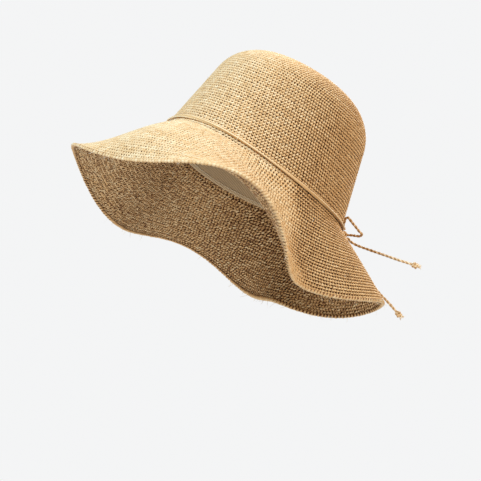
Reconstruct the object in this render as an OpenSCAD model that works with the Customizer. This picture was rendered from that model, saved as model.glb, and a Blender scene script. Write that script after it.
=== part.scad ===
// Crocheted straw sun hat with a soft wavy brim and a cord bow.
// Millimetres, +Z up along the crown. The origin is at the middle of the head opening,
// level with the crown's foot. The front of the hat faces -Y.

/* [Crown] */
// Length of the head oval outside the crown's foot, front to back
crown_length = 205; // [185:1:225]
// Width of the head oval outside the crown's foot, side to side
crown_width = 169; // [155:1:190]
// Height of the crown's top above its foot
crown_height = 114.5; // [100:0.5:130]
// Lean of the crown's wall inwards, in degrees from upright
wall_lean = 11.6; // [6:0.2:15]
// Radius of the round shoulder between the wall and the top
shoulder_radius = 45; // [30:1:50]
// Slope of the top where it meets the shoulder, in degrees
top_slope = 9; // [6:1:14]
// How far the top sits behind the middle of the foot
top_set_back = 2.7; // [0:0.1:6]
// Rise of the foot at the front and its drop at the back
foot_tip = 2.5; // [0:0.1:5]
// Rise of the foot at the front and back and its drop at the sides
foot_saddle = 4; // [0:0.1:6]

/* [Brim] */
// Width of the brim from the crown's foot to its edge
brim_width = 84; // [70:1:100]
// How much wider the brim is at the front, and narrower at the back
brim_front_extra = 8; // [0:0.5:12]
// How much wider the brim is at the front and back than at the sides
brim_oval_extra = 0.5; // [0:0.1:4]

/* [Thicknesses] */
// Thickness of the crocheted raffia
straw_thickness = 2.6; // [2:0.1:4]
// Thickness of the edging round outside the brim
edging_width = 2.8; // [2.4:0.1:5]
// Diameter of the wire inside the edging
wire_diameter = 1; // [0.6:0.1:1.4]

/* [Sweatband] */
// Height of the cotton band inside the crown
sweatband_height = 30; // [20:1:40]
// Thickness of the cotton band
sweatband_thickness = 1.2; // [0.8:0.1:2]
// Width of the size label at the back
label_width = 26; // [16:1:36]

/* [Cord] */
// Diameter of the twisted raffia cord
cord_diameter = 2.2; // [1.8:0.1:3]
// Diameter of the bow's knot
bow_knot_diameter = 9; // [7:0.5:9.5]
// Diameter of the knot that ends each tail
end_knot_diameter = 6.2; // [4:0.2:7]
// Thickness of the thread loops that hold the cord on the crown
carrier_thread = 0.8; // [0.6:0.1:1]

/* [Hidden] */
columns = 72;
cord_sides = 8;
straw_colour = "#dcc598";
cord_colour = "#d7b27c";
cotton_colour = "#c9b48f";
thread_colour = "#efe3c6";

// The brim's droop below level, in degrees, at each hour of a clock laid on the hat
// with 12 at the front and 3 at the wearer's left: at the foot and at the edge.
foot_droop = [26, 37, 77, 72, 36, 42, 74, 72, 48, 60, 87, 65];
edge_droop = [74, 31, -3, 66, 51, 43, 93, 61, 28, 59, 24, 19];

half_length = crown_length / 2;
half_width = crown_width / 2;
mean_radius = (half_length + half_width) / 2;
// The wall's length and the top's radius follow from wall, shoulder and top meeting smoothly.
across_left = mean_radius - shoulder_radius * (cos(wall_lean) - sin(top_slope));
height_left = crown_height - shoulder_radius * (cos(top_slope) - sin(wall_lean));
meeting = sin(top_slope) * cos(wall_lean) - (1 - cos(top_slope)) * sin(wall_lean);
top_radius = (across_left * cos(wall_lean) - height_left * sin(wall_lean)) / meeting;
wall_length = (sin(top_slope) * height_left - (1 - cos(top_slope)) * across_left) / meeting;
// The crown's top is the rounds that grow, and its wall is the rounds that all have one length:
// they meet a little above the start of the shoulder.
split_angle = 20;
shoulder_end = 90 - top_slope;
shoulder_steps = 5;
top_rings = [1.5, 4, 6.5];
seam_gap = 3;
// Room between two pieces that are worked onto each other
worked_gap = 0.2;

around = [for (i = [0:columns - 1]) 360 * i / columns];

function unit(v) = v / norm(v);

// ---- the crown's profile: [radius, height, outward part, upward part of its normal]
function wall_at(s) = [mean_radius - s * sin(wall_lean), s * cos(wall_lean),
                       cos(wall_lean), sin(wall_lean)];
function shoulder_at(a) = [
    mean_radius - wall_length * sin(wall_lean) + shoulder_radius * (cos(a) - cos(wall_lean)),
    wall_length * cos(wall_lean) + shoulder_radius * (sin(a) - sin(wall_lean)),
    cos(a), sin(a)];
function top_at(g) = [top_radius * sin(g), crown_height - top_radius * (1 - cos(g)), sin(g), cos(g)];

function foot_lift(a) = foot_tip * cos(a) + foot_saddle * cos(2 * a);
function crown_point(station, a, depth) =
    let (r = (station[0] - depth * station[2]) / mean_radius, z = station[1] - depth * station[3],
         share = z / crown_height)
    [r * half_width * sin(a), -r * half_length * cos(a) + top_set_back * share,
     z + (1 - share) * foot_lift(a)];
function crown_ring(station, depth) = [for (a = around) crown_point(station, a, depth)];

// ---- the brim: its slope turns evenly from the foot's droop to the edge's droop
function bell(x) = abs(sin(x / 2)) < 0.000001 ? 1 : sin(6 * x) / (12 * tan(x / 2));
function hourly(list, a, k = 0) = k > 11 ? 0 : list[k] * bell(a - 30 * k) + hourly(list, a, k + 1);
function brim_reach(a) = brim_width + brim_front_extra * cos(a) + brim_oval_extra * cos(2 * a);
function outward(a) = let (v = unit([sin(a) / half_width, -cos(a) / half_length])) [v.x, v.y, 0];
function sag(a, u) = (1 - u) * hourly(foot_droop, a) + u * hourly(edge_droop, a);
function chord(turned) = abs(turned) < 0.001 ? 1 : sin(turned) / (turned * PI / 180);
function brim_point(a, u, depth) =
    let (half_turn = (sag(a, u) - sag(a, 0)) / 2, middle = sag(a, 0) + half_turn,
         run = brim_reach(a) * u * chord(half_turn), normal_sag = sag(a, u))
    crown_point(wall_at(0), a, 0)
    + outward(a) * (run * cos(middle) - depth * sin(normal_sag))
    - [0, 0, run * sin(middle) + depth * cos(normal_sag)];
function brim_ring(u, depth) = [for (a = around) brim_point(a, u, depth)];

// ---- where the wall and the brim meet, their thickness is cut on the mitre
function mitre_point(a, depth, along_brim) =
    let (s = sag(a, 0), w = [cos(wall_lean), sin(wall_lean)], b = [sin(s), cos(s)],
         m = (w + b) / (1 + w * b))
    crown_point(wall_at(0), a, 0) - depth * (outward(a) * m[0] + [0, 0, m[1]])
    + along_brim * (outward(a) * cos(s) - [0, 0, sin(s)]);
function mitre_ring(depth, along_brim = 0) = [for (a = around) mitre_point(a, depth, along_brim)];

// ---- the edging's section stands on the brim's cut edge
edging_bulge = 0.2;
function edging_point(a, out, down) =
    let (s = sag(a, 1))
    brim_point(a, 1, down) + (worked_gap + out) * (outward(a) * cos(s) - [0, 0, sin(s)]);
function edging_ring(out, down) = [for (a = around) edging_point(a, out, down)];

// A skin through a list of rings, each with the same number of points. Looped skins close
// on their first ring, and open ones get a fan of triangles at each end.
module skin(rings, looped) {
    n = len(rings[0]);
    m = len(rings);
    points = [for (r = rings) each r, middle_of(rings[0]), middle_of(rings[m - 1])];
    last = looped ? m : m - 1;
    sides = [for (i = [0:last - 1], j = [0:n - 1])
        let (a = i * n + j, b = i * n + (j + 1) % n, c = ((i + 1) % m) * n + j,
             d = ((i + 1) % m) * n + (j + 1) % n)
        each [[a, b, d], [a, d, c]]];
    ends = looped ? [] : [for (j = [0:n - 1])
        let (k = (j + 1) % n)
        each [[m * n, k, j], [m * n + 1, (m - 1) * n + j, (m - 1) * n + k]]];
    used = looped ? [for (i = [0:m * n - 1]) points[i]] : points;
    polyhedron(points = used, faces = concat(sides, ends), convexity = 10);
}
function middle_of(ring) = [for (k = [0:2]) sum_of([for (p = ring) p[k]]) / len(ring)];
function sum_of(list, i = 0) = i >= len(list) ? 0 : list[i] + sum_of(list, i + 1);

// ---- cords: a smooth curve through the route's points, swept by a small circle
function curve_at(p0, p1, p2, p3, t) =
    0.5 * (2 * p1 + (p2 - p0) * t + (2 * p0 - 5 * p1 + 4 * p2 - p3) * t * t
           + (3 * p1 - p0 - 3 * p2 + p3) * t * t * t);
function smooth(route, steps) =
    let (n = len(route), before = 2 * route[0] - route[1], after = 2 * route[n - 1] - route[n - 2],
         p = [before, each route, after])
    [for (i = [1:n - 1], k = [0:steps - 1]) curve_at(p[i - 1], p[i], p[i + 1], p[i + 2], k / steps),
     route[n - 1]];
function heading(path, i, looped) =
    let (n = len(path), back = looped ? (i + n - 1) % n : max(i - 1, 0),
         ahead = looped ? (i + 1) % n : min(i + 1, n - 1))
    unit(path[ahead] - path[back]);
function disc(centre, along, hint, radius, sides) =
    let (u = unit(cross(along, hint)), v = cross(u, along))
    [for (j = [0:sides - 1]) let (t = 360 * j / sides) centre + radius * (cos(t) * u + sin(t) * v)];
module tube(path, diameter, sides, hint, looped = false) {
    skin([for (i = [0:len(path) - 1])
          disc(path[i], heading(path, i, looped), hint, diameter / 2, sides)], looped);
}

// ---- places on the crown for the trim cord, its carriers and the bow
cord_rise = 3.4;
bow_at = 155;
knot_centre = [39, 98, 3];
knot_grip = 3;
cord_leaves = 7;
carrier_away = 120;
function on_wall(a, rise, stand) =
    crown_point(wall_at(rise), a, 0) + stand * (outward(a) * cos(wall_lean) + [0, 0, sin(wall_lean)]);
function along_wall(a) = unit(on_wall(a + 1, cord_rise, 0) - on_wall(a - 1, cord_rise, 0));
cord_stand = cord_diameter / 2 + 0.1;
trim_steps = 68;
trim_path = [
    knot_centre + knot_grip * along_wall(bow_at),
    for (i = [0:trim_steps])
        on_wall(bow_at + cord_leaves + (360 - 2 * cord_leaves) * i / trim_steps, cord_rise, cord_stand),
    knot_centre - knot_grip * along_wall(bow_at)];

// ---- routes of the bow's loops and tails
loop_near_route = [[41.5, 94, 7], [42, 90, 9], [44, 87, 12], [45.5, 85, 15], [48.5, 84.5, 16],
                   [52, 86.5, 14], [57, 90, 11], [60.5, 94, 8.5], [62, 97, 7.5], [59, 98.5, 5.5],
                   [51.5, 97.5, 4.5], [45, 97.5, 3.5]];
loop_far_route = [[36, 102, 6], [27, 108, 8], [15, 113, 11], [4, 117, 11], [-4, 120, 7],
                  [-6, 121, 1], [0, 121, -5], [12, 117, -6], [24, 110, -3], [35, 102, 1]];
tail_long_route = [[43, 101, 2], [48, 103.5, -0.5], [54.5, 107.5, -1], [63, 112, -0.5], [72, 116, 0],
                   [81, 120, 0.5], [90.5, 124.5, 1], [100, 129.5, 2], [105, 132.5, 2.5]];
tail_short_route = [[39, 102, 0], [43, 110, -6], [49, 119, -13], [56, 128, -19], [63, 137, -24],
                    [70, 146, -29], [78, 154, -33], [87, 161, -38]];
tail_steps = 3;
loop_steps = 2;
knot_bite = 1;
tuft_length = 3.5;
tuft_neck = 2.4;
tuft_mouth = 3.4;

module crown_top() {
    shoulder = [for (i = [0:shoulder_steps])
        shoulder_at(split_angle + (shoulder_end - split_angle) * i / shoulder_steps)];
    top = [for (g = top_rings) top_at(g)];
    last = len(top_rings) - 1;
    color(straw_colour)
    skin([for (station = top) crown_ring(station, straw_thickness),
          for (i = [shoulder_steps:-1:0]) crown_ring(shoulder[i], straw_thickness),
          for (station = shoulder) crown_ring(station, 0),
          for (i = [last:-1:0]) crown_ring(top[i], 0)], false);
}

module crown_wall() {
    wall = [wall_at(seam_gap), wall_at(seam_gap + sweatband_height), wall_at(wall_length),
            shoulder_at((wall_lean + split_angle) / 2), shoulder_at(split_angle)];
    last = len(wall) - 1;
    color(straw_colour)
    skin([mitre_ring(0),
          for (station = wall) crown_ring(station, 0),
          for (i = [last:-1:0]) crown_ring(wall[i], straw_thickness),
          mitre_ring(straw_thickness)], true);
}

module brim() {
    shares = [for (i = [1:8]) i / 8];
    color(straw_colour)
    skin([for (i = [7:-1:0]) brim_ring(shares[i], 0),
          mitre_ring(0, worked_gap),
          mitre_ring(straw_thickness, worked_gap),
          for (u = shares) brim_ring(u, straw_thickness)], true);
}

module brim_edging() {
    bulge_at = 0.6 * edging_width;
    nose = 0.3 * straw_thickness;
    color(straw_colour)
    skin([edging_ring(0, straw_thickness), edging_ring(bulge_at, straw_thickness + edging_bulge),
          edging_ring(edging_width, straw_thickness - nose), edging_ring(edging_width, nose),
          edging_ring(bulge_at, -edging_bulge), edging_ring(0, 0)], true);
}

module edge_wire() {
    path = edging_ring(edging_width / 2, straw_thickness / 2);
    color("#8d8a84")
    tube(path, wire_diameter, 6, [0, 0, 1], true);
}

// The band is sewn to the wall just above the foot, and its top edge is free.
band_outside = straw_thickness + 0.1;
band_inside = band_outside + sweatband_thickness;
module sweatband() {
    low = wall_at(seam_gap);
    high = wall_at(seam_gap + sweatband_height);
    color(cotton_colour)
    skin([crown_ring(low, band_outside), crown_ring(high, band_outside),
          crown_ring(high, band_inside), crown_ring(low, band_inside)], true);
}

sewing_thread = 0.7;
sewing_rise = 3;
module sweatband_stitching() {
    path = crown_ring(wall_at(seam_gap + sewing_rise), band_inside + sewing_thread / 2 + 0.05);
    color(thread_colour)
    tube(path, sewing_thread, 6, [0, 0, 1], true);
}

label_thickness = 0.5;
label_rise = 8;
label_height = 16;
module size_label() {
    half_angle = label_width / 2 / half_width * 180 / PI;
    front = band_inside + 0.1;
    back = front + label_thickness;
    low = wall_at(seam_gap + label_rise);
    high = wall_at(seam_gap + label_rise + label_height);
    color("#f2eee4")
    skin([for (i = [-5:5]) let (a = 180 + half_angle * i / 5)
          [crown_point(low, a, front), crown_point(high, a, front),
           crown_point(high, a, back), crown_point(low, a, back)]], false);
}

module trim_cord() {
    color(cord_colour)
    tube(trim_path, cord_diameter, cord_sides, [0, 0, 1]);
}

// Turns a child that stands along Z so that it stands at a point along a direction.
module stand_at(point, direction) {
    translate(point)
    rotate([0, acos(direction.z), atan2(direction.y, direction.x)])
    children();
}

// A thread ring round the cord that goes through the crochet behind it.
module carrier_loop(a) {
    color(thread_colour)
    stand_at(on_wall(a, cord_rise, cord_stand), along_wall(a))
    rotate_extrude($fn = 48)
    translate([cord_diameter / 2 + carrier_thread / 2 + 0.1, 0])
    circle(d = carrier_thread, $fn = 24);
}
module carrier_loop_left() { carrier_loop(bow_at - carrier_away); }
module carrier_loop_right() { carrier_loop(bow_at + carrier_away); }

module bow_knot() {
    color(cord_colour)
    translate(knot_centre)
    sphere(d = bow_knot_diameter, $fn = 48);
}

module bow_loop_near() {
    color(cord_colour)
    tube(smooth(loop_near_route, loop_steps), cord_diameter, cord_sides, [0, 0, 1]);
}
module bow_loop_far() {
    color(cord_colour)
    tube(smooth(loop_far_route, loop_steps), cord_diameter, cord_sides, [1, 0, 0.3]);
}

// ---- a tail of cord, the knot that ends it and the tuft of loose straw beyond
module tail(route) {
    color(cord_colour)
    tube(smooth(route, tail_steps), cord_diameter, cord_sides, [0, 0, 1]);
}
function route_end(route) = route[len(route) - 1];
function end_heading(route) = unit(route_end(route) - route[len(route) - 2]);
module end_knot(route) {
    color(cord_colour)
    translate(route_end(route) + (end_knot_diameter / 2 - knot_bite) * end_heading(route))
    sphere(d = end_knot_diameter, $fn = 36);
}
module end_tuft(route) {
    start = end_knot_diameter - 2 * knot_bite;
    color(straw_colour)
    stand_at(route_end(route) + start * end_heading(route), end_heading(route))
    cylinder(d1 = tuft_neck, d2 = tuft_mouth, h = tuft_length, $fn = 24);
}
module tail_long() { tail(tail_long_route); }
module tail_long_knot() { end_knot(tail_long_route); }
module tail_long_tuft() { end_tuft(tail_long_route); }
module tail_short() { tail(tail_short_route); }
module tail_short_knot() { end_knot(tail_short_route); }
module tail_short_tuft() { end_tuft(tail_short_route); }

crown_top();
crown_wall();
brim();
brim_edging();
edge_wire();
sweatband();
sweatband_stitching();
size_label();
trim_cord();
carrier_loop_left();
carrier_loop_right();
bow_knot();
bow_loop_near();
bow_loop_far();
tail_long();
tail_long_knot();
tail_long_tuft();
tail_short();
tail_short_knot();
tail_short_tuft();
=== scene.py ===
"""Looks of the straw sun hat: crocheted raffia, twisted cord, cotton sweatband. Metres, in the CAD frame."""
import math
import bpy
import numpy as np
from mathutils import Matrix, Vector


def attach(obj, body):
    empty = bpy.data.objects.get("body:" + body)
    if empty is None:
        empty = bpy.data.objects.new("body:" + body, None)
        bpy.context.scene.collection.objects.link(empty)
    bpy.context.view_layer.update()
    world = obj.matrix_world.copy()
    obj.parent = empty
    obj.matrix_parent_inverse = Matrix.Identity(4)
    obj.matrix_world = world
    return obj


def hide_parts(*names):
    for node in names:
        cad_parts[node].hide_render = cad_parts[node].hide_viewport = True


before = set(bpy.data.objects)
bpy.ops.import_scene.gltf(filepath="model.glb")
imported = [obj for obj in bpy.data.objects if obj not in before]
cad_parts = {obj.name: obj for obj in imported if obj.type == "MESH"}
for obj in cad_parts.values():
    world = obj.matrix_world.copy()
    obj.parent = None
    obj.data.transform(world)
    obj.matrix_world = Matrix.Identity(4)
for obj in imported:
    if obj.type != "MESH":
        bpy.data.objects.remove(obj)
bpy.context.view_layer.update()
rng = np.random.default_rng(7)

MM = 0.001
TAU = 2 * math.pi


# ---------------------------------------------------------------- camera
def look_frame(azimuth, elevation, roll):
    """The camera's right, up and back directions, from degrees round the hat."""
    a, e, r = (math.radians(v) for v in (azimuth, elevation, roll))
    back = np.array([math.sin(a) * math.cos(e), -math.cos(a) * math.cos(e), math.sin(e)])
    level = np.array([math.cos(a), math.sin(a), 0.0])
    rise = np.cross(back, level)
    right = math.cos(r) * level + math.sin(r) * rise
    up = -math.sin(r) * level + math.cos(r) * rise
    return right, up, back


# The photo's own view: degrees round the hat, degrees above its level, and the tilt in the picture.
camera_lens, camera_distance = 221.8, 2.751
look_right, look_up, look_back = look_frame(47.85, -13.11, 27.62)
# The point the camera looks at.
aim = -0.0114 * look_right - 0.0554 * look_up


def make_camera():
    """The camera stands below the brim's level and looks up at the tilted hat."""
    data = bpy.data.cameras.new("camera")
    data.lens = camera_lens
    data.sensor_width = 36
    data.clip_end = 40
    camera = bpy.data.objects.new("camera", data)
    bpy.context.collection.objects.link(camera)
    place = look_back * camera_distance
    back = (place - aim) / np.linalg.norm(place - aim)
    right = np.cross(look_up, back)
    right /= np.linalg.norm(right)
    turned = Matrix(np.array([right, np.cross(back, right), back]).T.tolist())
    camera.matrix_world = Matrix.Translation(Vector(place)) @ turned.to_4x4()
    bpy.context.scene.camera = camera


# ---------------------------------------------------------------- the hat's shape, as in the CAD
half_length = 102.5 * MM
half_width = 84.5 * MM
mean_radius = (half_length + half_width) / 2
crown_height = 114.5 * MM
wall_lean = math.radians(11.6)
shoulder_radius = 45 * MM
top_slope = math.radians(9)
top_set_back = 2.7 * MM
straw_thickness = 2.6 * MM
# The brim's slope below level in degrees, at each hour round the hat: where it starts, and at its edge.
foot_droop = [26, 37, 77, 72, 36, 42, 74, 72, 48, 60, 87, 65]
edge_droop = [74, 31, -3, 66, 51, 43, 93, 61, 28, 59, 24, 19]

# A straight wall, a round shoulder and a flat dome, each meeting the next without a corner.
meeting = math.sin(top_slope) * math.cos(wall_lean) - (1 - math.cos(top_slope)) * math.sin(wall_lean)
across_left = mean_radius - shoulder_radius * (math.cos(wall_lean) - math.sin(top_slope))
height_left = crown_height - shoulder_radius * (math.cos(top_slope) - math.sin(wall_lean))
top_radius = (across_left * math.cos(wall_lean) - height_left * math.sin(wall_lean)) / meeting
wall_length = (math.sin(top_slope) * height_left - (1 - math.cos(top_slope)) * across_left) / meeting
shoulder_length = shoulder_radius * (math.pi / 2 - top_slope - wall_lean)
crown_length = wall_length + shoulder_length + top_radius * top_slope
split_lean = math.radians(20)
split_length = wall_length + shoulder_radius * (split_lean - wall_lean)


def foot_lift(a):
    """How far the crown's foot rises over level."""
    return (2.5 * np.cos(a) + 4 * np.cos(2 * a)) * MM


def outward(a):
    """The level direction square to the head oval."""
    n = np.stack([np.sin(a) / half_width, -np.cos(a) / half_length, 0 * a], -1)
    return n / np.linalg.norm(n, axis=-1, keepdims=True)


def profile(s):
    """The crown's mean profile at a length s up from the foot: radius, height and the normal's two parts."""
    on_wall = s < wall_length
    on_top = s > wall_length + shoulder_length
    a = np.clip(wall_lean + (s - wall_length) / shoulder_radius, wall_lean, math.pi / 2 - top_slope)
    g = np.clip(top_slope - (s - wall_length - shoulder_length) / top_radius, 0, top_slope)
    wall_s = np.minimum(s, wall_length)
    foot_to = mean_radius - wall_length * math.sin(wall_lean) - shoulder_radius * math.cos(wall_lean)
    up_to = wall_length * math.cos(wall_lean) - shoulder_radius * math.sin(wall_lean)
    radius = np.where(on_wall, mean_radius - wall_s * math.sin(wall_lean),
                      np.where(on_top, top_radius * np.sin(g), foot_to + shoulder_radius * np.cos(a)))
    height = np.where(on_wall, wall_s * math.cos(wall_lean),
                      np.where(on_top, crown_height - top_radius * (1 - np.cos(g)),
                               up_to + shoulder_radius * np.sin(a)))
    out = np.where(on_top, np.sin(g), np.cos(a))
    rise = np.where(on_top, np.cos(g), np.sin(a))
    return radius, height, out, rise


def crown_point(a, s, depth=0.0):
    """The crown's surface, or a point at a depth inside it."""
    radius, height, out, rise = profile(s)
    r = (radius - depth * out) / mean_radius
    z = height - depth * rise
    share = z / crown_height
    return np.stack([r * half_width * np.sin(a), -r * half_length * np.cos(a) + top_set_back * share,
                     z + (1 - share) * foot_lift(a)], -1)


def hourly(values, a):
    """The smoothest curve round the hat through twelve values in degrees, one at each hour of a clock."""
    total = 0 * a
    for k, value in enumerate(values):
        x = a - math.radians(30 * k)
        flat = np.abs(np.sin(x / 2)) < 1e-6
        total = total + value * np.where(flat, 1.0, np.sin(6 * x) / (12 * np.tan(np.where(flat, 1.0, x / 2))))
    return np.radians(total)


def brim_reach(a):
    """The brim's length from the foot to its edge."""
    return (84 + 8 * np.cos(a) + 0.5 * np.cos(2 * a)) * MM


def brim_point(a, u, depth=0.0):
    """The brim's surface: u is 0 at the foot and 1 at the edge, and the slope changes evenly between them."""
    first, last = hourly(foot_droop, a), hourly(edge_droop, a)
    half_turn = (last - first) * u / 2
    run = brim_reach(a) * u * np.sinc(half_turn / math.pi)
    slope = first + 2 * half_turn
    level = run * np.cos(first + half_turn) - depth * np.sin(slope)
    drop = run * np.sin(first + half_turn) + depth * np.cos(slope)
    return crown_point(a, 0 * a) + outward(a) * level[..., None] - np.stack([0 * a, 0 * a, drop], -1)


def hat_point(a, row, depth=0.0):
    """The hat's surface. A row is 0 at the crown's middle, 1 at its foot and 2 at the brim's edge."""
    a, row = np.broadcast_arrays(np.asarray(a, float), np.asarray(row, float))
    on_crown = crown_point(a, crown_length * (1 - np.minimum(row, 1.0)), depth)
    on_brim = brim_point(a, np.maximum(row - 1, 0.0), depth)
    return np.where((row < 1)[..., None], on_crown, on_brim)


def hat_axes(a, row):
    """Along the round, outward along the rows, and the outer normal."""
    step = 1e-4
    inner = np.where(np.abs(row - 1) < 2 * step, row + 2 * step, row)
    along = hat_point(a + step, inner) - hat_point(a - step, inner)
    down = hat_point(a, inner + step) - hat_point(a, inner - step)
    along /= np.linalg.norm(along, axis=-1, keepdims=True)
    normal = np.cross(down, along)
    normal /= np.linalg.norm(normal, axis=-1, keepdims=True)
    down = np.cross(along, normal)
    return along, down, normal


# ---------------------------------------------------------------- mesh and material helpers
def new_object(name, points, faces_4=None, faces_3=None, tone=None, fibre=None):
    """A mesh object from arrays. tone is each point's shade, and fibre its place in its own strand, in mm."""
    quads = np.zeros((0, 4), int) if faces_4 is None else np.asarray(faces_4).reshape(-1, 4)
    tris = np.zeros((0, 3), int) if faces_3 is None else np.asarray(faces_3).reshape(-1, 3)
    mesh = bpy.data.meshes.new(name)
    loops = np.concatenate([quads.ravel(), tris.ravel()])
    starts = np.concatenate([np.arange(len(quads)) * 4, len(quads) * 4 + np.arange(len(tris)) * 3])
    mesh.vertices.add(len(points))
    mesh.vertices.foreach_set("co", np.asarray(points, np.float32).ravel())
    mesh.loops.add(len(loops))
    mesh.loops.foreach_set("vertex_index", loops.astype(np.int32))
    mesh.polygons.add(len(starts))
    mesh.polygons.foreach_set("loop_start", starts.astype(np.int32))
    mesh.polygons.foreach_set("use_smooth", np.ones(len(starts), bool))
    if tone is not None:
        layer = mesh.attributes.new("tone", "FLOAT", "POINT")
        layer.data.foreach_set("value", np.asarray(tone, np.float32).ravel())
    if fibre is not None:
        layer = mesh.attributes.new("fibre", "FLOAT_VECTOR", "POINT")
        layer.data.foreach_set("vector", np.asarray(fibre, np.float32).ravel())
    mesh.update(calc_edges=True)
    mesh.validate()
    piece = bpy.data.objects.new(name, mesh)
    bpy.context.collection.objects.link(piece)
    return piece


def tube_faces(index, closed):
    """Four-sided faces of tubes whose points are numbered by tube, ring and side."""
    lower, upper = (index, np.roll(index, -1, axis=1)) if closed else (index[:, :-1], index[:, 1:])
    return np.stack([lower, np.roll(lower, -1, axis=2), np.roll(upper, -1, axis=2), upper], -1).reshape(-1, 4)


def sweep(centres, side, lift, half_side, half_lift, sides, closed=False):
    """Many tubes at once. centres is (tubes, rings, 3), and side x lift points along each tube."""
    tubes, rings = centres.shape[:2]
    turn = TAU * np.arange(sides) / sides
    c, s = np.cos(turn), np.sin(turn)
    points = (centres[:, :, None] + side[:, :, None] * (half_side[..., None] * c)[..., None]
              + lift[:, :, None] * (half_lift[..., None] * s)[..., None])
    index = np.arange(tubes * rings * sides).reshape(tubes, rings, sides)
    return points.reshape(-1, 3), tube_faces(index, closed), index


def capped(index):
    """Three-sided faces that close both ends of each tube."""
    first, last = index[:, 0], index[:, -1]
    k = index.shape[2]
    fan = np.array([[0, i, i + 1] for i in range(1, k - 1)])
    return np.concatenate([first[:, fan[:, ::-1]].reshape(-1, 3), last[:, fan].reshape(-1, 3)])


def material(name):
    """A new material, its node tree and its shader."""
    made = bpy.data.materials.new(name)
    made.use_nodes = True
    tree = made.node_tree
    return made, tree, tree.nodes["Principled BSDF"]


def node(tree, kind, **settings):
    """A node with its sockets or its own settings set by name."""
    made = tree.nodes.new(kind)
    for key, value in settings.items():
        if key in made.inputs:
            made.inputs[key].default_value = value
        else:
            setattr(made, key, value)
    return made


def noise(tree, place, scale, detail, rough):
    """A noise texture over the given place."""
    made = node(tree, "ShaderNodeTexNoise", Scale=scale, Detail=detail, Roughness=rough)
    tree.links.new(place, made.inputs["Vector"])
    return made.outputs["Fac"]


def object_place(tree):
    """Each point's own place in metres."""
    return node(tree, "ShaderNodeTexCoord").outputs["Object"]


def plus_share(tree, base, share, source):
    """The base value and a share of the source added to it."""
    made = node(tree, "ShaderNodeMath", operation="MULTIPLY_ADD")
    made.inputs[1].default_value = share
    tree.links.new(source, made.inputs[0])
    tree.links.new(base, made.inputs[2])
    return made.outputs[0]


def set_colour(tree, shader, source, stops):
    """The base colour follows the source through the given stops."""
    made = tree.nodes.new("ShaderNodeValToRGB")
    elements = made.color_ramp.elements
    while len(elements) < len(stops):
        elements.new(0.5)
    for element, (place, colour) in zip(elements, stops):
        element.position = place
        element.color = (*colour, 1)
    tree.links.new(source, made.inputs["Fac"])
    tree.links.new(made.outputs["Color"], shader.inputs["Base Color"])


def set_roughness(tree, shader, source, least, most):
    """The roughness follows the source from the least to the most."""
    made = node(tree, "ShaderNodeMapRange", **{"To Min": least, "To Max": most})
    tree.links.new(source, made.inputs["Value"])
    tree.links.new(made.outputs[0], shader.inputs["Roughness"])


def set_bump(tree, shader, source, strength, distance):
    """The surface seems to rise and fall with the source."""
    made = node(tree, "ShaderNodeBump", Strength=strength, Distance=distance)
    tree.links.new(source, made.inputs["Height"])
    tree.links.new(made.outputs[0], shader.inputs["Normal"])


# ---------------------------------------------------------------- crochet
foot_count = 168
split_row = 1 - split_length / crown_length
close_from = 0.965  # the row from which the front is worked more closely
slant = 0.2  # each round starts this share of a stitch further on


def unit(v):
    """The same directions with length one."""
    return v / np.linalg.norm(v, axis=-1, keepdims=True)


def run_along(line):
    """The length run up to each point of a line."""
    return np.concatenate([[0], np.cumsum(np.linalg.norm(np.diff(line, axis=0), axis=1))])


def radian_length(angles, a, run):
    """How much length one radian takes at the given angles, from the length run up to each angle a."""
    return np.interp(angles, (a[1:] + a[:-1]) / 2, np.diff(run) / np.diff(a))


def row_line(row, steps):
    """The middle of the straw along one round."""
    a = np.linspace(0, TAU, steps)
    return a, hat_point(a, np.full_like(a, row), straw_thickness / 2)


def places_on_row(row, count, shift):
    """Stitches set evenly along one round: their angles, the length of a radian there, and their width."""
    a, line = row_line(row, 1441)
    run = run_along(line)
    angles = np.interp((np.arange(count) + shift) % count / count * run[-1], run, a)
    return angles, radian_length(angles, a, run)[:, None], run[-1] / count


def round_length(row):
    """The whole length of a round."""
    return run_along(row_line(row, 361)[1])[-1]


def strand_tones(count, state):
    """Shades of stitches in a row: one straw runs through some tens of them before the next one starts."""
    shades = np.empty(count)
    for i in range(count):
        state[1] -= 1
        if state[1] < 0:
            state[:] = [rng.normal(), int(rng.integers(12, 60))]
        shades[i] = state[0]
    return 0.72 + 0.016 * shades + 0.036 * rng.normal(size=count)


def strands(centres, normal, half_side, half_lift, tone, apart, sides, flank_shade=0.0, ends=0.0):
    """Tubes of straw through the given rings. The flank and end numbers paint shade on them where straw meets
    straw.
    """
    ahead = unit(np.gradient(centres, axis=1))
    side = unit(np.cross(normal, ahead))
    lift = np.cross(ahead, side)
    points, quads, index = sweep(centres, side, lift, half_side, half_lift, sides)
    turn = TAU * np.arange(sides) / sides
    step = np.linalg.norm(np.diff(centres, axis=1), axis=2)
    way = np.concatenate([np.zeros((len(centres), 1)), np.cumsum(step, axis=1)], axis=1) / MM
    way += rng.uniform(0, 4000, (len(centres), 1))
    fibre = np.stack([np.broadcast_to(way[..., None], way.shape + (sides,)),
                      half_side[..., None] * np.cos(turn) / MM, half_lift[..., None] * np.sin(turn) / MM], -1)
    share = np.linspace(-1, 1, way.shape[1])[None, :, None]
    # Painted shade: darker on each tube's flanks and towards its ends, as much as the stitches stand apart.
    crevice_shade = flank_shade * np.cos(turn) ** 2 + ends * share ** 4
    shades = np.asarray(tone)[:, None, None] - crevice_shade * np.reshape(apart, (-1, 1, 1))
    return points, quads, capped(index), shades.ravel(), fibre.reshape(-1, 3)


def joined(name, parts):
    """One object from several sets of tubes."""
    points, quads, tris, tones, fibres = zip(*parts)
    offsets = np.cumsum([0] + [len(p) for p in points[:-1]])
    return new_object(name, np.concatenate(points), np.concatenate([q + o for q, o in zip(quads, offsets)]),
                      np.concatenate([t + o for t, o in zip(tris, offsets)]), np.concatenate(tones),
                      np.concatenate(fibres))


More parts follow.
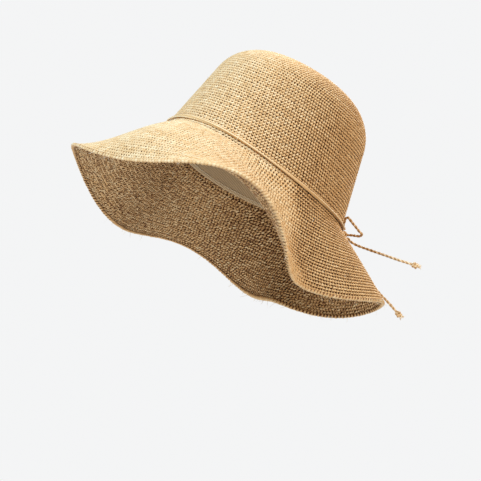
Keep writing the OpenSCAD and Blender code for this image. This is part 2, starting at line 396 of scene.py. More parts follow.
def ease(x, low, high):
    """A smooth step from 0 at low to 1 at high."""
    s = np.clip((x - low) / (high - low), 0, 1)
    return s * s * (3 - 2 * s)


def openness(a, row):
    """How far the stitches stand apart: the brim's front is worked closer than the crown and the sides."""
    turn = np.degrees(a) % 360
    if row < close_from:
        return 0.42 + 0.50 * ease(turn, 15, 90) * (1 - ease(turn, 200, 270))
    start = 76 + 7 * ease(row, 1.05, 1.30) + 12 * ease(row, 1.70, 1.95)
    side = ease(turn, start - 7, start + 7) * (1 - ease(turn, 215, 260))
    return 0.05 + 0.93 * side


def crochet(name, rows, counts, tall, low, high, plump):
    """Rounds of stitches. Each is a link of the round's chain, a V-shaped post and a bar across the back."""
    t = np.linspace(-1, 1, 7)
    found, state = [[], [], []], [0.0, 0]
    for k, (row, count) in enumerate(zip(rows, counts)):
        angles, rate, width = places_on_row(row, count, slant * k)
        per_row = (np.full(count, crown_length) if row < 1 else brim_reach(angles))[:, None]
        height = tall * per_row
        chance = rng.normal(size=(10, count, 1))
        apart = openness(angles, row)[:, None]
        closed = (1 - apart) * (row > close_from)
        # Closely worked stitches are a shade darker: painted shade for the fine shadows between them.
        tone = strand_tones(count, state) - 0.05 * closed[:, 0]
        pinch = apart + closed * np.clip(0.6 + 0.6 * chance[9], 0, 1.5)
        normal = hat_axes(angles[:, None] + 0 * t, row + 0 * angles[:, None] + 0 * t)[2]
        fat = plump * (1 + 0.07 * rng.normal(size=(count, 1)))
        swell = np.cos(t * math.pi / 2)
        shift = 0.05 * width * chance[0]
        lean = 0.03 * height * chance[1]
        # Each straw: x along the round, y outward, depth, half width and half thickness, at each place t.
        link = (shift + 0.60 * width * t, height * (0.20 - (0.20 + 0.05 * chance[5]) * t) + lean,
                straw_thickness / 2
                + MM * (-(0.14 + 0.42 * apart) * swell - 0.12 * t + 0.04 * chance[2]),
                (1.22 - 0.36 * apart) * MM * fat * (1.05 - (0.12 + 0.45 * pinch) * (1 - swell)),
                0.98 * MM * (1.04 - (0.15 + 0.32 * pinch) * (1 - swell)) + 0 * fat)
        v = np.abs(t)
        post = (shift + width * (0.12 + 0.02 * chance[3]) * np.sign(t) * v ** 0.8 + slant * width * (v - 0.4),
                height * (-0.72 + 0.03 * chance[4] + 0.95 * v ** 1.1) + lean,
                straw_thickness / 2 + (0.32 * apart - 0.05) * MM + 0.10 * MM * v + 0.04 * MM * chance[5],
                (0.62 - 0.22 * apart) * MM * fat * (0.85 + 0.2 * np.sin(math.pi * v)),
                0.80 * MM + 0 * fat + 0 * t)
        bar = (shift + 0.58 * width * t, height * (-0.30 + 0.15 * chance[6] + (0.26 + 0.10 * chance[7]) * t),
               straw_thickness - 0.46 * MM + 0.14 * MM * t ** 2 + 0.06 * MM * chance[8],
               0.78 * MM * fat * (0.6 + 0.45 * swell), 0.40 * MM * (0.8 + 0.2 * swell) + 0 * fat)
        # least is the smallest share of the painted shade that each kind of straw gets; the bars at the back
        # always get all of it.
        for shape, kept, least, spots in zip((link, post, bar), found, (0.08, 0.08, 1.0), (0.0, 0.0, 0.15)):
            x, y, depth, half_side, half_lift = shape
            at, over = angles[:, None] + x / rate, np.clip(row + y / per_row, low, high)
            kept.append((hat_point(at, over, depth + 0 * at), normal, half_side, half_lift,
                         tone + spots * chance[9, :, 0], np.maximum(apart[:, 0], least)))
    # After the sides, each look holds the painted shade on the flanks and at the ends.
    return joined(name, [strands(*(np.concatenate(v) for v in zip(*kept)), *looks)
                         for kept, looks in zip(found, ((6, 0.55, 0.55), (5, 0.45, 0.15), (4, 0.30, 0.75)))])


def straw_web(name, rows, depth, thick):
    """The crossed straws deep in the stitches, as one closed skin through the given rows; its dark material
    paints the shade in the holes.
    """
    steps = 360
    a = np.arange(steps) * TAU / steps
    path = [(r, depth) for r in rows] + [(r, depth + thick) for r in rows[::-1]]
    rings = np.stack([hat_point(a, np.full_like(a, r), d) for r, d in path])
    index = np.arange(rings.shape[0] * steps).reshape(-1, steps)
    nxt, ahead = np.roll(index, -1, axis=0), np.roll(index, -1, axis=1)
    quads = np.stack([index, nxt, np.roll(nxt, -1, axis=1), ahead], -1).reshape(-1, 4)
    across = np.broadcast_to((a * mean_radius / MM)[None], index.shape)
    up = np.broadcast_to(np.array([r * crown_length / MM for r, _ in path])[:, None], index.shape)
    fibre = np.stack([across, up, 0 * up], -1)
    return new_object(name, rings.reshape(-1, 3), quads, None, np.full(index.size, 0.3), fibre)


# ---------------------------------------------------------------- materials
def straw_material(name, dark, middle, light, rough=0.5, sheen=0.2, shine=0.4):
    """Dry raffia: shades that follow each straw, including the painted shade carried in its tone, fine
    streaks along it, and a faint shine.
    """
    made, tree, shader = material(name)
    tone = node(tree, "ShaderNodeAttribute", attribute_name="tone")
    fibre = node(tree, "ShaderNodeAttribute", attribute_name="fibre")
    stretch = node(tree, "ShaderNodeVectorMath", operation="MULTIPLY")
    stretch.inputs[1].default_value = (0.16, 3.2, 3.2)
    tree.links.new(fibre.outputs["Vector"], stretch.inputs[0])
    streak = noise(tree, stretch.outputs["Vector"], 1.0, 4.0, 0.62)
    patch = noise(tree, object_place(tree), 26.0, 2.0, 0.5)
    total = plus_share(tree, plus_share(tree, tone.outputs["Fac"], 0.24, streak), 0.06, patch)
    set_colour(tree, shader, total, [(0.30, dark), (0.72, middle), (1.0, light)])
    set_roughness(tree, shader, streak, rough - 0.12, rough + 0.15)
    set_bump(tree, shader, streak, 0.35, 0.0002)
    shader.inputs["Specular IOR Level"].default_value = shine
    shader.inputs["Sheen Weight"].default_value = sheen
    shader.inputs["Sheen Roughness"].default_value = 0.5
    return made


def linear(*srgb):
    """A colour given from 0 to 255, as the shaders need it."""
    return tuple(((c / 255 + 0.055) / 1.055) ** 2.4 if c > 10 else c / 255 / 12.92 for c in srgb)


straw = straw_material("raffia", linear(124, 78, 36), linear(220, 180, 122), linear(249, 231, 190))
trim_straw = straw_material("raffia_trim", linear(190, 144, 86), linear(226, 190, 134), linear(250, 230, 190))
# Painted shade: the dark browns of the skin deep in the stitches stand for the shade in their holes.
deep_shade_straw = straw_material("raffia_deep_shade", linear(64, 38, 18), linear(84, 54, 28), linear(110, 76, 42),
                            rough=0.85, sheen=0.0, shine=0.1)
cord_straw = straw_material("raffia_cord", linear(146, 106, 62), linear(212, 172, 118), linear(248, 222, 176))
stray_straw = straw_material("raffia_stray", linear(224, 200, 156), linear(240, 222, 186),
                             linear(252, 240, 214))


def cloth_material(name, dark, light, rib, across, rough=0.8):
    """Woven cotton: fine ribs across the band, uneven threads and a soft sheen."""
    made, tree, shader = material(name)
    place = node(tree, "ShaderNodeAttribute", attribute_name="fibre").outputs["Vector"]
    wave = node(tree, "ShaderNodeTexWave", bands_direction=across, Scale=rib, Distortion=0.6, Detail=1.0,
                **{"Detail Scale": 2.0})
    tree.links.new(place, wave.inputs["Vector"])
    threads = noise(tree, place, 2.6, 3.0, 0.7)
    total = plus_share(tree, threads, 0.5, wave.outputs["Fac"])
    set_colour(tree, shader, total, [(0.3, dark), (0.95, light)])
    set_roughness(tree, shader, threads, rough - 0.08, rough + 0.12)
    set_bump(tree, shader, total, 0.5, 0.0003)
    shader.inputs["Sheen Weight"].default_value = 0.3
    shader.inputs["Specular IOR Level"].default_value = 0.2
    return made


def wire_material():
    """Drawn wire with faint marks."""
    made, tree, shader = material("drawn_wire")
    marks = noise(tree, object_place(tree), 900.0, 3.0, 0.6)
    set_colour(tree, shader, marks, [(0.3, (0.30, 0.29, 0.27)), (0.7, (0.55, 0.54, 0.51))])
    set_roughness(tree, shader, marks, 0.25, 0.5)
    shader.inputs["Metallic"].default_value = 1.0
    return made


cotton = cloth_material("grosgrain", linear(140, 114, 78), linear(232, 214, 180), 0.21, "X")
thread = cloth_material("sewing_thread", linear(236, 224, 192), linear(252, 246, 228), 2.2, "X", 0.7)
blank_label = cloth_material("woven_label", linear(222, 216, 200), linear(244, 240, 228), 1.9, "Y", 0.6)


# ---------------------------------------------------------------- camera first, then the cords
def keep(piece, look, slot_name, *nodes, body="hat"):
    """Gives a piece its material and body, and hides the CAD nodes it stands for. slot_name is not used."""
    piece.data.materials.append(look)
    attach(piece, body)
    if nodes:
        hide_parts(*nodes)
    return piece


make_camera()

cord_diameter = 2.2 * MM
cord_twist = 8.2 * MM
ply_share = 1.2  # the two plies bulge out past the cord's measured diameter
knot_centre = np.array([39, 98, 3]) * MM
cord_rise = 3.4 * MM  # from the crown's foot up to the trim cord
bow_at = math.radians(155)
loop_near_route = [[41.5, 94, 7], [42, 90, 9], [44, 87, 12], [45.5, 85, 15], [48.5, 84.5, 16],
                   [52, 86.5, 14], [57, 90, 11], [60.5, 94, 8.5], [62, 97, 7.5], [59, 98.5, 5.5],
                   [51.5, 97.5, 4.5], [45, 97.5, 3.5]]
loop_far_route = [[36, 102, 6], [27, 108, 8], [15, 113, 11], [4, 117, 11], [-4, 120, 7],
                  [-6, 121, 1], [0, 121, -5], [12, 117, -6], [24, 110, -3], [35, 102, 1]]
tail_long_route = [[43, 101, 2], [48, 103.5, -0.5], [54.5, 107.5, -1], [63, 112, -0.5], [72, 116, 0],
                   [81, 120, 0.5], [90.5, 124.5, 1], [100, 129.5, 2], [105, 132.5, 2.5]]
tail_short_route = [[39, 102, 0], [43, 110, -6], [49, 119, -13], [56, 128, -19], [63, 137, -24],
                    [70, 146, -29], [78, 154, -33], [87, 161, -38]]


def smooth(route, steps):
    """The smooth curve through a route's points."""
    p = np.array(route, float) * MM
    p = np.concatenate([[2 * p[0] - p[1]], p, [2 * p[-1] - p[-2]]])
    t = (np.arange(steps) / steps)[:, None]
    spans = [0.5 * (2 * b + (c - a) * t + (2 * a - 5 * b + 4 * c - d) * t ** 2
                    + (3 * b - a - 3 * c + d) * t ** 3)
             for a, b, c, d in zip(p, p[1:], p[2:], p[3:])]
    return np.concatenate(spans + [p[-2:-1]])


def even(path, step):
    """The same path with points a step apart."""
    run = run_along(path)
    wanted = np.linspace(0, run[-1], max(3, round(run[-1] / step) + 1))
    return np.stack([np.interp(wanted, run, path[:, k]) for k in range(3)], -1), run[-1]


def twisted(path, diameter, twist, step=0.5 * MM, sides=14, closed=False, waist=0.68, thin_ends=False,
            start=0.0):
    """A two-ply cord along a path: its section is a figure of eight that turns as it goes. waist is the
    section's narrow width as a share of the wide one, and start its turn at the path's beginning."""
    line, length = even(path, step)
    if closed:
        line = line[:-1]
        ahead = unit(np.roll(line, -1, axis=0) - np.roll(line, 1, axis=0))
    else:
        ahead = unit(np.gradient(line, axis=0))
    side = np.empty_like(line)
    side[0] = unit(np.cross(ahead[0], [0.3, 0.2, 1.0]))
    for k in range(1, len(line)):
        side[k] = unit(side[k - 1] - ahead[k] * (side[k - 1] @ ahead[k]))
    other = np.cross(ahead, side)
    turn = TAU * np.arange(sides) / sides
    turns = round(length / twist) if closed else length / twist
    phase = start + TAU * turns * np.arange(len(line)) / len(line)
    if closed:
        miss = math.atan2(side[-1] @ other[0], side[-1] @ side[0])
        phase = phase + miss * np.arange(len(line)) / len(line)
    share = waist + (1 - waist) * np.abs(np.cos(turn[None] - phase[:, None])) ** 1.3
    spots = np.arange(0, len(line) + 9, 9)
    wear = 1 + 0.05 * np.interp(np.arange(len(line)), spots, rng.normal(size=len(spots)))
    radius = diameter / 2 * share * wear[:, None]
    if thin_ends:
        ends = np.minimum(np.arange(len(line)), np.arange(len(line))[::-1])
        radius = radius * np.sqrt(np.clip((ends + 0.6) / 3, 0, 1))[:, None]
    points = line[:, None] + radius[..., None] * (np.cos(turn)[None, :, None] * side[:, None]
                                                  + np.sin(turn)[None, :, None] * other[:, None])
    index = np.arange(points.shape[0] * sides).reshape(1, -1, sides)
    caps = np.zeros((0, 3), int) if closed else capped(index)
    local = turn[None] - phase[:, None]
    way = np.broadcast_to((np.arange(len(line)) * length / len(line) / MM)[:, None], radius.shape)
    fibre = np.stack([way + rng.uniform(0, 900), radius / MM * np.cos(local),
                      radius / MM * np.sin(local)], -1)
    # Painted shade: darker where the section narrows, in the groove between the plies.
    tone = np.where(np.cos(local) > 0, 0.80, 0.68) - 0.50 * (1 - share) / (1 - waist) + 0.05 * wear[:, None]
    return (points.reshape(-1, 3), tube_faces(index, closed), caps, np.clip(tone, 0, 1).ravel(),
            fibre.reshape(-1, 3))


def free_cord(name, route, steps, body):
    """A free cord from the bow's knot."""
    path = smooth(route, steps)
    plies = twisted(path, ply_share * cord_diameter, cord_twist, waist=0.6)
    piece = keep(joined(name + "_cord", [plies]), cord_straw, "cord", name, body=body)


end_knot_diameter = 6.2 * MM
knot_bite = 1 * MM


def end_of(route):
    """Where a route ends, and its direction there."""
    p = np.array(route, float) * MM
    return p[-1], unit(p[-1] - p[-2])


def end_knot(name, route, body):
    """An overhand knot pulled tight: one strand that goes round and through itself."""
    end, ahead = end_of(route)
    centre = end + (end_knot_diameter / 2 - knot_bite) * ahead
    side = unit(np.cross(ahead, [0.2, 0.1, 1.0]))
    other = np.cross(ahead, side)
    t = np.linspace(0, TAU, 121)
    reach = 0.76 * MM
    loop = reach * np.stack([np.sin(t) + 2 * np.sin(2 * t), np.cos(t) - 2 * np.cos(2 * t),
                             -2.3 * np.sin(3 * t)], -1)
    path = centre + loop[:, :1] * ahead + loop[:, 1:2] * side + loop[:, 2:] * other
    parts = [twisted(path, 2.3 * MM, 5 * MM, step=0.3 * MM, closed=True, waist=0.72)]
    return keep(joined(name + "_overhand", parts), cord_straw, "cord", name, body=body)


def tuft(name, route, body):
    """Frayed straw ends beyond the knot, each a thin flat strand that bends its own way."""
    end, ahead = end_of(route)
    start = end + (end_knot_diameter - 2.4 * knot_bite) * ahead
    side = unit(np.cross(ahead, [0.2, 0.1, 1.0]))
    other = np.cross(ahead, side)
    count, rings = 16, 8
    t = np.linspace(0, 1, rings)
    turn = rng.uniform(0, TAU, count)
    spread = rng.uniform(0.15, 0.75, count) ** 0.8
    length = rng.uniform(2.4, 5.0, count) * MM
    out = np.cos(turn)[:, None] * side + np.sin(turn)[:, None] * other
    bend = rng.normal(size=(count, 3)) * 0.10
    centres = (start + 0.7 * MM * rng.uniform(0.2, 1, count)[:, None, None] * out[:, None]
               + length[:, None, None] * t[None, :, None] * (ahead + (spread[:, None] * out)[:, None])
               + length[:, None, None] * (t ** 2)[None, :, None] * bend[:, None])
    normal = np.broadcast_to(out[:, None], centres.shape)
    width = rng.uniform(0.30, 0.50, count)[:, None] * MM * (1 - 0.70 * t ** 2)
    part = strands(centres, normal, width, 0.45 * width, rng.uniform(0.4, 1, count), 1, 5)
    return keep(joined(name + "_straws", [part]), trim_straw, "loose_straw", name, body=body)


for side_name, route in (("long", tail_long_route), ("short", tail_short_route)):
    body = side_name + "_tail"
    extras = [end_knot("tail_%s_knot" % side_name, route, body),
              tuft("tail_%s_tuft" % side_name, route, body)]
    free_cord("tail_" + side_name, route, 3, body)
free_cord("bow_loop_near", loop_near_route, 2, "near_loop")
free_cord("bow_loop_far", loop_far_route, 2, "far_loop")


def on_wall(a, rise, stand):
    """A point that stands off the crown's wall, rise up from its foot."""
    a = np.asarray(a, float)
    out = outward(a) * math.cos(wall_lean)
    out[..., 2] += math.sin(wall_lean)
    return crown_point(a, 0 * a + rise) + stand * out


# ---------------------------------------------------------------- the cord round the crown, carriers, knot
stand = cord_diameter / 2 + 0.1 * MM  # from the wall out to the cord's middle
# The level direction along the wall at the bow.
around_wall = unit(on_wall(bow_at + 0.02, cord_rise, 0) - on_wall(bow_at - 0.02, cord_rise, 0))
bow_gap = 7  # degrees from the bow's middle to where the cord lies against the wall
angles = bow_at + np.radians(bow_gap + (360 - 2 * bow_gap) * np.arange(301) / 300)
trim = np.concatenate([[knot_centre + 3 * MM * around_wall], on_wall(angles, cord_rise, stand),
                       [knot_centre - 3 * MM * around_wall]])
# Round the crown the cord lies flat: a wide section that turns only twice on its way.
flat_width, flat_twist, flat_start = 3 * MM, 304 * MM, 0.94
flat_cord = twisted(trim, flat_width, flat_twist, step=0.7 * MM, waist=0.42, start=flat_start)
keep(joined("trim_cord_twist", [flat_cord]), trim_straw, "cord", "trim_cord")

carriers_at = math.radians(120)  # round the crown from the bow, on both sides
for label, a in (("left", bow_at - carriers_at), ("right", bow_at + carriers_at)):
    middle = on_wall(a, cord_rise, stand)
    along = unit(on_wall(a + 0.02, cord_rise, 0) - on_wall(a - 0.02, cord_rise, 0))
    out = unit(on_wall(a, cord_rise, 1.0) - on_wall(a, cord_rise, 0))
    up = np.cross(out, along)
    t = np.linspace(0, TAU, 61)
    ring = middle + 1.62 * MM * (np.cos(t)[:, None] * out + np.sin(t)[:, None] * up)
    loop = twisted(ring, 0.8 * MM, 1.7 * MM, step=0.2 * MM, sides=8, closed=True)
    keep(joined("carrier_loop_%s_thread" % label, [loop]), stray_straw, "carrier_thread",
         "carrier_loop_" + label)


def bow_knot():
    """The bow's middle: two turns of cord round the crossing strands, and the crossing itself."""
    out = unit(np.array([knot_centre[0] / half_width ** 2, knot_centre[1] / half_length ** 2, 0]))
    up = np.cross(out, around_wall)
    t = np.linspace(0, TAU, 91)
    parts = []
    for shift in (-1.15, 1.15):
        ring = (knot_centre + MM * (shift + 0.25 * np.sin(t))[:, None] * around_wall
                + 2.75 * MM * (np.cos(t)[:, None] * out + np.sin(t)[:, None] * up))
        parts.append(twisted(ring, cord_diameter, 6 * MM, step=0.4 * MM, closed=True, waist=0.7))
    for tilt in (0.55, -0.55):
        way = around_wall * math.cos(tilt) + up * math.sin(tilt)
        path = knot_centre + np.linspace(-3.9, 3.9, 14)[:, None] * MM * way + 0.5 * MM * np.sign(tilt) * out
        parts.append(twisted(path, cord_diameter * 1.1, 6 * MM, step=0.4 * MM, thin_ends=True))
    keep(joined("bow_knot_turns", parts), cord_straw, "cord", "bow_knot")


bow_knot()


# ---------------------------------------------------------------- straw
def worked(name, cad_node, rows, counts, bands, tall, low, high, plump=1.0):
    """The rounds of one part of the hat, in bands of rounds."""
    for k, (first, last) in enumerate(zip(bands, bands[1:])):
        stitches = crochet("%s_rounds_%d" % (name, k + 1), rows[first:last], counts[first:last], tall, low,
                           high, plump)
        keep(stitches, straw, "straw", *([cad_node] if k == 0 else []))


wall_rows = 28
wall_step = (1 - split_row) / wall_rows
rows = [split_row + wall_step * (k + 0.5) for k in range(wall_rows)]
worked("wall", "crown_wall", rows, [foot_count] * wall_rows, (0, 6, 12, 17, 22, 28), wall_step,
       split_row - 0.004, 1.012)
top_rows = 29
top_step = split_row / top_rows
rows = [top_step * (k + 0.5) for k in range(top_rows)]
narrowest = round_length(split_row) / foot_count
counts = [max(6, min(foot_count, round(round_length(r) / narrowest))) for r in rows]
worked("top", "crown_top", rows, counts, (0, 17, 23, 29), top_step, 0.002, split_row + 0.004, 0.93)
brim_rows = 27
rows = [1 + (k + 0.5) / brim_rows for k in range(brim_rows)]
foot_width, brim_width = round_length(1.0) / foot_count, 3.1 * MM
counts = [round(round_length(r) / (foot_width + (brim_width - foot_width) * min(1, (r - 1) * 4)))
          for r in rows]
worked("brim", "brim", rows, counts, (0, 5, 9, 13, 16, 19, 22, 25, 27), 1 / brim_rows, 0.985, 2.0, 0.96)

web_depth, web_thickness = 1.5 * MM, 0.25 * MM
# The dark skins under the stitches paint the shade in the holes.
for name, row_steps in (("crown_web", np.linspace(0.01, 0.999, 60)),
                        ("brim_web", np.concatenate([[0.999], np.linspace(1.001, 1.995, 30)]))):
    keep(straw_web(name, row_steps, web_depth, web_thickness), deep_shade_straw, "straw")


# ---------------------------------------------------------------- the edging, worked over its wire
edge_count = 288


def edge_axes(a):
    """At the brim's edge: outward along the brim, and down through it."""
    s = hourly(edge_droop, a)
    level = outward(a)
    out = level * np.cos(s)[..., None]
    out[..., 2] -= np.sin(s)
    down = -level * np.sin(s)[..., None]
    down[..., 2] -= np.cos(s)
    return out, down


def edging():
    """Short straw wraps from the brim's last round over the edge, each leaning on the next, and a core."""
    angles, rate, width = places_on_row(2.0, edge_count, 0)
    turn = np.radians(np.linspace(122, -122, 11))
    chance = rng.normal(size=(4, edge_count, 1))
    across = width * (0.40 * turn / math.pi + 0.05 * chance[0])
    at = angles[:, None] + across / rate
    out, down = edge_axes(at)
    swell = np.cos(turn * 0.72)
    # Underneath, the wraps reach further in and are wider, so that no gaps show between them.
    under = np.clip((-turn - 1.5) / 0.6, 0, 1)
    reach = (0.95 + 1.45 * np.cos(turn) - 0.9 * under + 0.10 * chance[1]) * MM
    fall = (1.3 - 1.02 * np.sin(turn) + 0.25 * under + 0.05 * chance[2]) * MM
    root = np.where(turn < 0, 1.12, 0.62)
    centres = brim_point(at, 1 + 0 * at) + out * reach[..., None] + down * fall[..., None]
    normal = out * np.cos(turn)[..., None] - down * np.sin(turn)[..., None]
    fat = 1 + 0.06 * rng.normal(size=(edge_count, 1))
    half_side = 1.86 * MM * fat * (root + (1.02 - root) * np.minimum(1, 1.5 * swell))
    # 0.14 and 0.38 are painted shade on the wraps' flanks and ends.
    wraps = strands(centres, normal, half_side, 0.46 * MM + 0 * half_side,
                    strand_tones(edge_count, [0.0, 0]), 1, 8, 0.14, 0.38)
    keep(joined("brim_edging_wraps", [wraps]), straw, "straw_edge", "brim_edging")

    steps = 720
    angles = TAU * np.arange(steps) / steps
    out, down = edge_axes(angles)
    middle = brim_point(angles, 1 + 0 * angles) + 0.95 * MM * out + 1.3 * MM * down
    points, quads, index = sweep(middle[None], out[None], down[None], np.full((1, steps), 1.35 * MM),
                                 np.full((1, steps), 0.98 * MM), 10, True)
    way = np.broadcast_to((angles * 160)[None, :, None], index.shape)
    around = np.broadcast_to(np.cos(TAU * np.arange(10) / 10), index.shape)
    # Its tone is near the darkest straw: painted shade for the gaps between the wraps.
    core = new_object("brim_edging_core", points, quads, None, np.full(index.size, 0.05),
                      np.stack([way, around, 0 * around], -1).reshape(-1, 3))
    keep(core, straw, "straw_edge")


edging()
wire_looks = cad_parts["edge_wire"].data.materials
wire_looks.clear()
wire_looks.append(wire_material())


# ---------------------------------------------------------------- inside the crown
# Heights up from the crown's foot, and depths inside its outer surface.
band_low, band_high = 3 * MM, 33 * MM
band_outside, band_inside = 2.7 * MM, 3.9 * MM


def around_crown(s, depth):
    """Angles round the crown at one height, and the length run up to each."""
    a = np.linspace(0, TAU, 1441)
    return a, run_along(crown_point(a, 0 * a + s, depth))


def cloth_shell(name, angles, ways, heights, front, back, closed):
    """A strip of cloth inside the wall: its front is towards the wall and its back towards the head."""
    section = [(s, front) for s in heights] + [(s, back) for s in heights[::-1]]
    rings = np.stack([crown_point(angles, 0 * angles + s, d + 0 * angles) for s, d in section], 1)
    index = np.arange(rings.shape[0] * rings.shape[1]).reshape(rings.shape[:2])
    quads = tube_faces(index[None], closed)
    if not closed:
        n = len(heights)
        k = np.arange(n - 1)
        first, last = (np.stack([line[k], line[k + 1], line[2 * n - 2 - k], line[2 * n - 1 - k]], -1)
                       for line in (index[0], index[-1]))
        quads = np.concatenate([quads, first[:, ::-1], last])
    across = np.broadcast_to((ways / MM)[:, None], index.shape)
    up = np.broadcast_to(np.array([s / MM for s, _ in section])[None], index.shape)
    fibre = np.stack([across, up, 0 * up], -1)
    return new_object(name, rings.reshape(-1, 3), quads, None, np.full(index.size, 0.5), fibre.reshape(-1, 3))


band_angles, band_run = around_crown((band_low + band_high) / 2, (band_outside + band_inside) / 2)
band_length = float(band_run[-1])
turn = np.linspace(0, TAU, 241)[:-1]
heights = band_low + (band_high - band_low) * np.linspace(0, 1, 16)
cloth = cloth_shell("sweatband_cloth", turn, np.interp(turn, band_angles, band_run), heights, band_outside,
                    band_inside, True)
band = keep(cloth, cotton, "cotton", "sweatband")

label_half_angle = 13 * MM / half_width
label_low, label_high = 11 * MM, 27 * MM
label_outside, label_inside = band_inside + 0.1 * MM, band_inside + 0.6 * MM
turn = np.linspace(math.pi - label_half_angle, math.pi + label_half_angle, 27)
cloth = cloth_shell("size_label_cloth", turn, np.interp(turn, band_angles, band_run),
                    np.linspace(label_low, label_high, 17), label_outside, label_inside, False)
keep(cloth, blank_label, "label", "size_label")


def sewn(angles, height, length, thread_size, depth):
    """A row of sewing stitches: each comes out of the cloth, runs along it and goes back in."""
    t = np.linspace(-1, 1, 9)
    at = angles[:, None] + length / 2 * t / radian_length(angles, band_angles, band_run)[:, None]
    s = height + 0.04 * MM * rng.normal(size=(len(angles), 1))
    bulge = depth + 0.42 * MM * np.sqrt(1 - t ** 2) - 0.08 * MM + 0 * at
    centres = crown_point(at, s, bulge)
    wall = crown_point(at, s, bulge - MM)
    return strands(centres, unit(centres - wall), 0.5 * thread_size + 0 * at, 0.26 * MM + 0 * at,
                   0.5 + 0.2 * rng.normal(size=len(angles)), 1, 6)


seam_height, seam_count = 6 * MM, 150
angles = np.interp(np.arange(seam_count) * band_length / seam_count, band_run, band_angles)
seams = [sewn(angles, seam_height, 2.9 * MM, 0.7 * MM, band_inside)]
seam_half_angle = 0.92 * label_half_angle
angles = np.linspace(math.pi - seam_half_angle, math.pi + seam_half_angle, 12)
for height in (label_low + MM, label_high - MM):
    seams.append(sewn(angles, height, 1.5 * MM, 0.45 * MM, label_inside))
keep(joined("sweatband_seam", seams), thread, "thread", "sweatband_stitching")


# ---------------------------------------------------------------- loose ends of straw
def loose_ends(count, low, high, shortest, longest, lift):
    """Thin fibres that leave the surface between two rows, each with its own way and bend."""
    t = np.linspace(0, 1, 9)
    a, row = rng.uniform(0, TAU, count), rng.uniform(low, high, count)
    start = hat_point(a, row, 0.3 * MM)
    along, down, normal = (v[:, None] for v in hat_axes(a, row))
    turn = rng.uniform(0, TAU, (count, 1, 1))
    way = np.cos(turn) * along + np.sin(turn) * down
    length = rng.uniform(shortest, longest, (count, 1, 1)) * MM
    rise = rng.uniform(0.1, 1.0, (count, 1, 1)) * lift
    bend = rng.normal(size=(count, 1, 3)) * 0.35
    s = t[None, :, None]
    centres = start[:, None] + length * (s * way + rise * s * (1.2 - 0.7 * s) * normal + 0.5 * s ** 2 * bend)
    depth = np.einsum("ijk,ijk->ij", centres - start[:, None], np.broadcast_to(normal, centres.shape))
    centres = centres + np.maximum(0, 0.1 * MM - depth)[..., None] * normal
    width = rng.uniform(0.07, 0.14, (count, 1)) * MM * (1 - 0.6 * t ** 2)
    flat = np.broadcast_to(normal, centres.shape)
    return strands(centres, flat, width, 0.7 * width, rng.uniform(0.3, 1.0, count), 1, 4)


def edge_ends(count):
    """Fibres that stand out from the brim's edge."""
    t = np.linspace(0, 1, 9)
    a = rng.uniform(0, TAU, count)
    out, down = edge_axes(a)
    level = np.cross(out, down)
    turn = rng.normal(size=(count, 1)) * 0.9
    way = unit(out + 0.9 * turn * level + 0.6 * rng.normal(size=(count, 1)) * down)
    start = brim_point(a, 1 + 0 * a) + 2.2 * MM * out + 1.3 * MM * down
    length = rng.uniform(1.5, 7.5, (count, 1, 1)) * MM
    s = t[None, :, None]
    bend = rng.normal(size=(count, 1, 3)) * 0.4
    centres = start[:, None] + length * (s * way[:, None] + 0.5 * s ** 2 * bend)
    width = rng.uniform(0.08, 0.17, (count, 1)) * MM * (1 - 0.6 * t ** 2)
    return strands(centres, np.broadcast_to(down[:, None], centres.shape), width, 0.7 * width,
                   rng.uniform(0.3, 1.0, count), 1, 4)


fibres = [loose_ends(60, 0.15, 0.98, 2.0, 7.0, 0.6),
          loose_ends(70, 1.05, 1.98, 2.0, 6.0, 0.4),
          edge_ends(110)]
keep(joined("loose_fibres", fibres), stray_straw, "loose_straw")


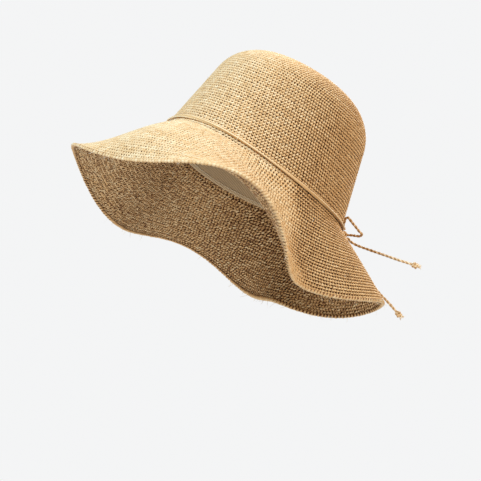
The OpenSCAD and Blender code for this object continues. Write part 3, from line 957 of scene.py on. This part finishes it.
# ---------------------------------------------------------------- stage, light and the end
def studio():
    """A plain bright room and soft lamps, placed from the camera's own directions."""
    world = bpy.data.worlds.new("studio")
    bpy.context.scene.world = world
    world.use_nodes = True
    tree = world.node_tree
    background = tree.nodes["Background"]
    background.inputs["Color"].default_value = (1.0, 0.84, 0.70, 1)
    background.inputs["Strength"].default_value = 0.34
    seen = tree.nodes.new("ShaderNodeBackground")
    seen.inputs["Color"].default_value = (0.905, 0.91, 0.915, 1)
    seen.inputs["Strength"].default_value = 1.0
    ray = tree.nodes.new("ShaderNodeLightPath")
    mix = tree.nodes.new("ShaderNodeMixShader")
    tree.links.new(ray.outputs["Is Camera Ray"], mix.inputs[0])
    tree.links.new(background.outputs[0], mix.inputs[1])
    tree.links.new(seen.outputs[0], mix.inputs[2])
    tree.links.new(mix.outputs[0], tree.nodes["World Output"].inputs["Surface"])
    # Each lamp: its name, watts, size in metres, colour and place.
    for label, power, size, colour, place in (
            ("key", 76, 0.6, (0.59, 0.785, 1.0), -look_right + 1.8 * look_up + 1.3 * look_back),
            ("fill", 32, 1.0, (1.0, 0.82, 0.64), 1.8 * look_right + 1.0 * look_up + 0.9 * look_back),
            ("bounce", 15, 1.2, (1.0, 0.80, 0.62), -1.1 * look_right - 2.2 * look_up + 0.9 * look_back),
            ("back", 34, 1.6, (1.0, 0.94, 0.86), 0.9 * look_right + 1.0 * look_up - 2.2 * look_back)):
        data = bpy.data.lights.new(label, "AREA")
        data.energy, data.size, data.color = power, size, colour
        lamp = bpy.data.objects.new(label, data)
        lamp.location = place
        lamp.rotation_mode = "QUATERNION"
        lamp.rotation_quaternion = (-Vector(place)).to_track_quat("-Z", "Y")
        bpy.context.collection.objects.link(lamp)
    bpy.context.scene.view_settings.view_transform = "Standard"


def floor():
    """A pale studio floor, far enough below for a camera that looks up at the hat."""
    half, level = 25.0, -3.3
    corners = [(x * half, y * half, level) for x, y in ((-1, -1), (1, -1), (1, 1), (-1, 1))]
    sheet = new_object("studio_floor", corners, [[0, 1, 2, 3]])
    made, tree, shader = material("studio_paper")
    grain = noise(tree, object_place(tree), 60.0, 3.0, 0.6)
    set_colour(tree, shader, grain, [(0.3, (0.80, 0.80, 0.80)), (0.7, (0.84, 0.84, 0.84))])
    shader.inputs["Roughness"].default_value = 0.9
    # A faint glow keeps the paper pale from every side.
    shader.inputs["Emission Color"].default_value = (0.88, 0.96, 1.0, 1)
    shader.inputs["Emission Strength"].default_value = 0.22
    sheet.data.materials.append(made)


studio()
floor()
